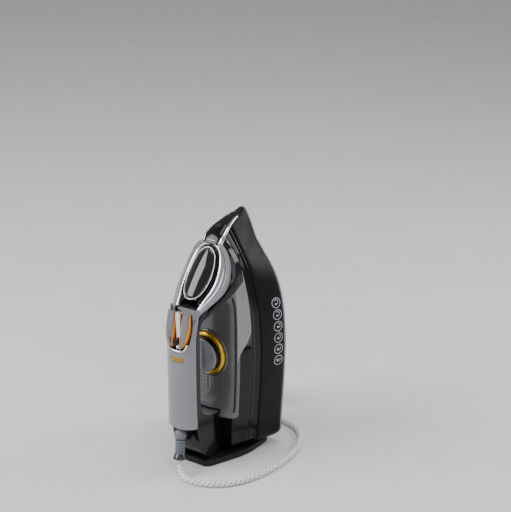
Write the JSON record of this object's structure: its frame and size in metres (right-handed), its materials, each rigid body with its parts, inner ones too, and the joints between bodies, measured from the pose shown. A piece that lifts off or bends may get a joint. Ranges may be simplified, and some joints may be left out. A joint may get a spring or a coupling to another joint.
{
  "type": "steam iron",
  "caption": "Corded steam iron standing on its heel, with a pointed soleplate, smoky water tank, sloping filler door, handle buttons, temperature dial and a coiled braided cord",
  "frame": {"origin": "middle of the iron's footprint on the surface that its heel stands on, cord left out", "axes": "+Z from the heel to the nose tip, +X to the iron's right, +Y out of the sole face; the handle is on the -Y side"},
  "size_m": [0.2258, 0.2866, 0.308],
  "materials": {
    "sole_coating": "ceramic-coated aluminium, satin",
    "cast_alloy": "as cast",
    "element_sheath": "drawn tube",
    "silicone": "moulded",
    "thermostat_metal": "plated",
    "skirt_black": "moulded, satin",
    "gloss_black": "moulded, gloss",
    "smoky_tank": "smoky translucent, gloss",
    "panel_silver": "metallic paint on plastic",
    "deck_grey": "moulded, gloss",
    "nozzle_steel": "turned",
    "dial_rim": "clear over grey",
    "dial_yellow": "metallic yellow",
    "grip_grey": "moulded, satin gloss",
    "handle_grey": "painted, satin",
    "amber_lens": "translucent amber",
    "lamp_glass": "clear",
    "chrome_trim": "chromed plastic",
    "smoky_door": "smoky translucent, gloss",
    "heel_black": "moulded, textured",
    "terminal_white": "moulded",
    "wire_sleeve": "silicone sleeve",
    "screw_steel": "zinc plated",
    "ball_grey": "moulded",
    "boot_rubber": "moulded, ribbed",
    "braid_white": "braided textile with grey flecks",
    "plug_rubber": "moulded",
    "pin_nickel": "nickel plated",
    "button_orange": "moulded, orange"
  },
  "bodies": {
    "body": {"body_housing": "gloss_black", "chamber_cover": "cast_alloy", "chamber_gasket": "silicone", "chrome_bezel": "chrome_trim", "cord_clamp": "terminal_white", "cord_socket": "gloss_black", "deck_panel": "deck_grey", "dial_bezel": "dial_rim", "filler_funnel": "gloss_black", "filler_pin": "thermostat_metal", "filler_seal": "silicone", "handle_core": "gloss_black", "handle_cover": "handle_grey", "handle_front": "gloss_black", "heating_element": "element_sheath", "heel_cover": "heel_black", "indicator_lamp": "lamp_glass", "indicator_lens": "amber_lens", "nozzle_housing": "gloss_black", "rear_body": "gloss_black", "screws": "screw_steel", "side_panel_left": "panel_silver", "side_panel_right": "panel_silver", "skirt": "skirt_black", "slider_rail": "chrome_trim", "soleplate": "sole_coating", "spray_nozzle": "nozzle_steel", "spray_pump": "terminal_white", "spray_spring": "screw_steel", "steam_chamber": "cast_alloy", "steam_pump": "terminal_white", "steam_spring": "screw_steel", "terminal_block": "terminal_white", "thermal_fuse": "thermostat_metal", "thermostat": "thermostat_metal", "water_tank": "smoky_tank", "wiring": "wire_sleeve"},
    "filler_door": {"filler_door": "smoky_door"},
    "spray_button": {"spray_button": "handle_grey", "spray_button_base": "button_orange", "spray_plunger": "terminal_white"},
    "steam_button": {"steam_button": "handle_grey", "steam_button_base": "button_orange", "steam_plunger": "terminal_white"},
    "steam_slider": {"steam_slider": "gloss_black"},
    "dial": {"dial_knob": "grip_grey", "dial_ring": "dial_yellow", "dial_cap": "gloss_black", "thermostat_spindle": "thermostat_metal"},
    "cord_swivel": {"cord_ball": "ball_grey", "cord_boot": "boot_rubber", "power_cord": "braid_white", "cord_coil": "braid_white", "plug_body": "plug_rubber", "plug_pins": "pin_nickel"}
  },
  "joints": [
    {"name": "filler_door_hinge", "type": "hinge", "parent": "body", "child": "filler_door", "pos_m": [0, -0.03876, 0.22029], "axis": [1, 0, 0], "range_deg": [0, 75]},
    {"name": "spray_button_press", "type": "slide", "parent": "body", "child": "spray_button", "axis": [0, 1, 0], "range_m": [0, 0.003], "stiffness_N_per_m": 500},
    {"name": "steam_button_press", "type": "slide", "parent": "body", "child": "steam_button", "axis": [0, 1, 0], "range_m": [0, 0.003], "stiffness_N_per_m": 500},
    {"name": "steam_slider_slide", "type": "slide", "parent": "body", "child": "steam_slider", "axis": [0, 0, 1], "range_m": [0, 0.029]},
    {"name": "dial_turn", "type": "hinge", "parent": "body", "child": "dial", "pos_m": [0, -0.008, 0.138], "axis": [0, -1, 0], "range_deg": [0, 270]},
    {"name": "cord_swivel_turn", "type": "hinge", "parent": "body", "child": "cord_swivel", "pos_m": [0, -0.063, 0.048], "axis": [0, 0, 1], "range_deg": [-25, 3]}
  ]
}
